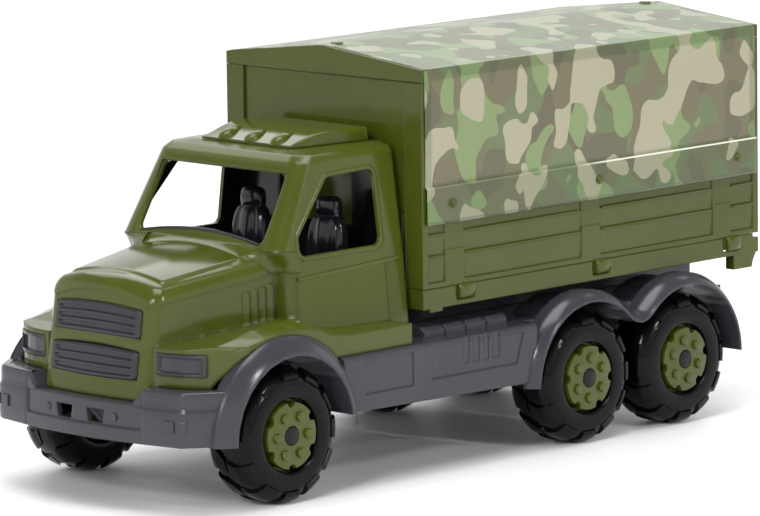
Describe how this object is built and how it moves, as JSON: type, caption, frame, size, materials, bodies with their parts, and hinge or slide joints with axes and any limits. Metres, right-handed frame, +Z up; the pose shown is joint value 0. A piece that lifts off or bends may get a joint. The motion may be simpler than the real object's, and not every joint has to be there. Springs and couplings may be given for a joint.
{
  "type": "toy military cargo truck",
  "caption": "Toy military lorry in moulded plastic: bonneted cab, rolling wheels, drop tailboard and a camouflage film cover over the load box.",
  "frame": {"origin": "bottom centre of the truck's box, on the floor between the wheels", "axes": "+X to the front of the truck, +Y to its left, +Z up"},
  "size_m": [0.525, 0.208, 0.2598],
  "materials": {
    "plastic_green": "glossy moulded polypropylene, olive green",
    "plastic_grey": "glossy moulded polypropylene, cool grey",
    "plastic_dark": "satin moulded polypropylene, charcoal",
    "tyre_black": "satin hard plastic tyre, near black",
    "printed_film": "translucent vinyl film with a printed camouflage pattern, slightly glossy",
    "axle_steel": "plain drawn steel wire"
  },
  "bodies": {
    "truck": {"axle_front": "axle_steel", "axle_middle": "axle_steel", "axle_rear": "axle_steel", "box_body": "plastic_green", "cab_interior": "plastic_dark", "cab_shell": "plastic_green", "chassis": "plastic_grey", "cover": "printed_film", "eave_rail_left": "plastic_green", "eave_rail_right": "plastic_green", "front_panel": "plastic_green", "gable_front": "plastic_green", "gable_rear": "plastic_green", "grille_lower": "plastic_grey", "grille_upper": "plastic_grey", "lamp_left": "plastic_grey", "lamp_right": "plastic_grey", "platform": "plastic_green", "ridge_pole": "plastic_green", "roof_fairing": "plastic_green", "seat_left": "plastic_dark", "seat_right": "plastic_dark"},
    "wheel_front_left": {"tyre_front_left": "tyre_black", "hub_front_left": "plastic_green", "hub_cap_front_left": "plastic_grey"},
    "wheel_front_right": {"tyre_front_right": "tyre_black", "hub_front_right": "plastic_green", "hub_cap_front_right": "plastic_grey"},
    "wheel_middle_left": {"tyre_middle_left": "tyre_black", "hub_middle_left": "plastic_green", "hub_cap_middle_left": "plastic_grey"},
    "wheel_middle_right": {"tyre_middle_right": "tyre_black", "hub_middle_right": "plastic_green", "hub_cap_middle_right": "plastic_grey"},
    "wheel_rear_left": {"tyre_rear_left": "tyre_black", "hub_rear_left": "plastic_green", "hub_cap_rear_left": "plastic_grey"},
    "wheel_rear_right": {"tyre_rear_right": "tyre_black", "hub_rear_right": "plastic_green", "hub_cap_rear_right": "plastic_grey"},
    "tailboard": {"tail_board": "plastic_green"}
  },
  "joints": [
    {"name": "roll_front_left", "type": "hinge", "parent": "truck", "child": "wheel_front_left", "pos_m": [0.1801, 0.085, 0.0421], "axis": [0, 1, 0], "continuous": true},
    {"name": "roll_front_right", "type": "hinge", "parent": "truck", "child": "wheel_front_right", "pos_m": [0.1801, -0.085, 0.0421], "axis": [0, 1, 0], "continuous": true},
    {"name": "roll_middle_left", "type": "hinge", "parent": "truck", "child": "wheel_middle_left", "pos_m": [-0.0836, 0.085, 0.0421], "axis": [0, 1, 0], "continuous": true},
    {"name": "roll_middle_right", "type": "hinge", "parent": "truck", "child": "wheel_middle_right", "pos_m": [-0.0836, -0.085, 0.0421], "axis": [0, 1, 0], "continuous": true},
    {"name": "roll_rear_left", "type": "hinge", "parent": "truck", "child": "wheel_rear_left", "pos_m": [-0.1745, 0.085, 0.0421], "axis": [0, 1, 0], "continuous": true},
    {"name": "roll_rear_right", "type": "hinge", "parent": "truck", "child": "wheel_rear_right", "pos_m": [-0.1745, -0.085, 0.0421], "axis": [0, 1, 0], "continuous": true},
    {"name": "tailboard_drop", "type": "hinge", "parent": "truck", "child": "tailboard", "pos_m": [-0.2599, 0, 0.1065], "axis": [0, -1, 0], "range_deg": [0, 170]}
  ]
}
